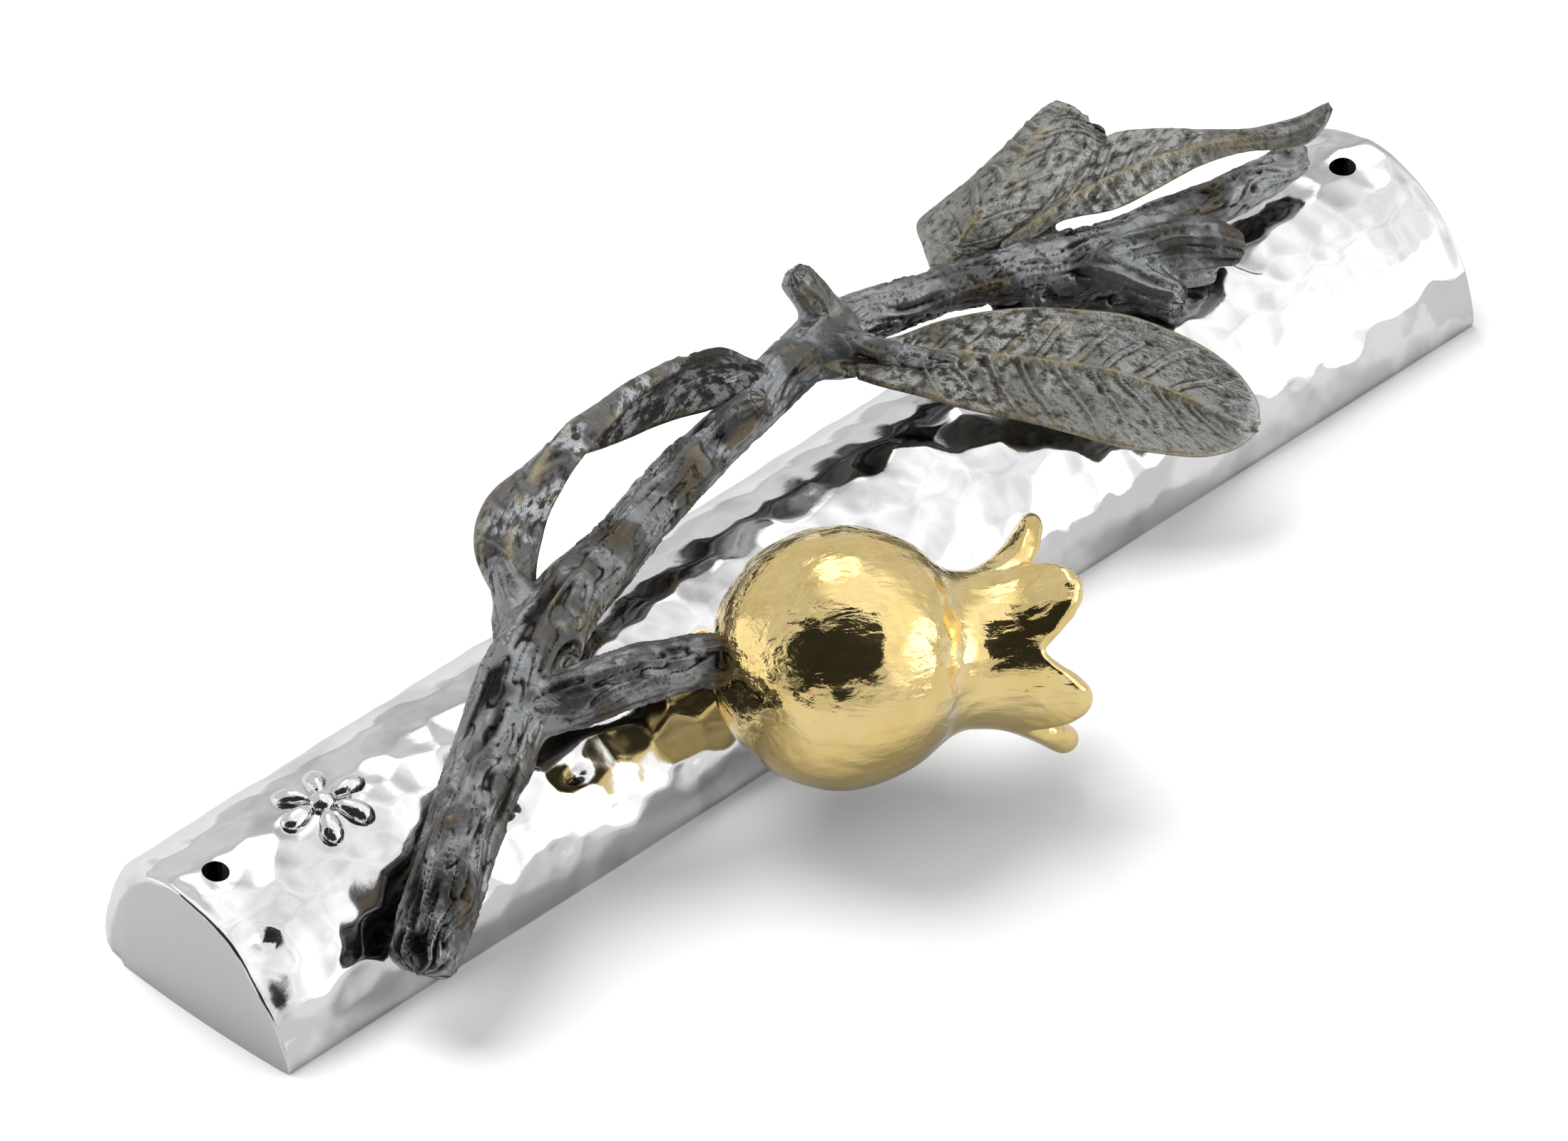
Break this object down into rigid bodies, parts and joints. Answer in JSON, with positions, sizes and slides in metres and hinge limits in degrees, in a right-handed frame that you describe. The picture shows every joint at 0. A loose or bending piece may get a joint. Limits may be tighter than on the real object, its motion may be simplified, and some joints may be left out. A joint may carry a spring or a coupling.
{
  "type": "mezuzah case",
  "caption": "Half-round hammered metal case for a rolled parchment, with a sliding back plate and a cast pomegranate branch with leaves along its crest.",
  "frame": {"origin": "centre of the flat back, midway between the two wall-screw holes", "axes": "+X along the case towards its upper end, +Z out of the flat back towards the crest, the pomegranate on the -Y side"},
  "size_m": [0.18, 0.066, 0.0336],
  "materials": {
    "hammered_nickel": "hammered and polished",
    "emblem_nickel": "polished relief",
    "plate_steel": "brushed",
    "dark_bronze": "oxidised, worn pale on raised edges",
    "gilt": "polished, finely wrinkled",
    "parchment": "matt, blank",
    "clear_film": "clear",
    "felt": "wool felt",
    "fastener_steel": "plain"
  },
  "bodies": {
    "case": {"case_shell": "hammered_nickel", "scroll": "parchment", "scroll_sleeve": "clear_film", "scroll_cushions": "felt", "main_branch": "dark_bronze", "tip_twig": "dark_bronze", "side_bud": "dark_bronze", "stub_twig": "dark_bronze", "fruit_stem": "dark_bronze", "pomegranate": "gilt", "pomegranate_crown": "gilt", "fruit_stud": "fastener_steel", "fruit_nut": "fastener_steel", "broad_leaf": "dark_bronze", "arch_leaf": "dark_bronze", "folded_leaf": "dark_bronze", "tip_leaf": "dark_bronze", "branch_screws": "fastener_steel", "branch_washers": "fastener_steel", "front_emblem": "emblem_nickel", "emblem_push_nuts": "fastener_steel"},
    "sliding_plate": {"back_plate": "plate_steel"}
  },
  "joints": [
    {"name": "back_plate_slide", "type": "slide", "parent": "case", "child": "sliding_plate", "axis": [1, 0, 0], "range_m": [0, 0.165]}
  ]
}
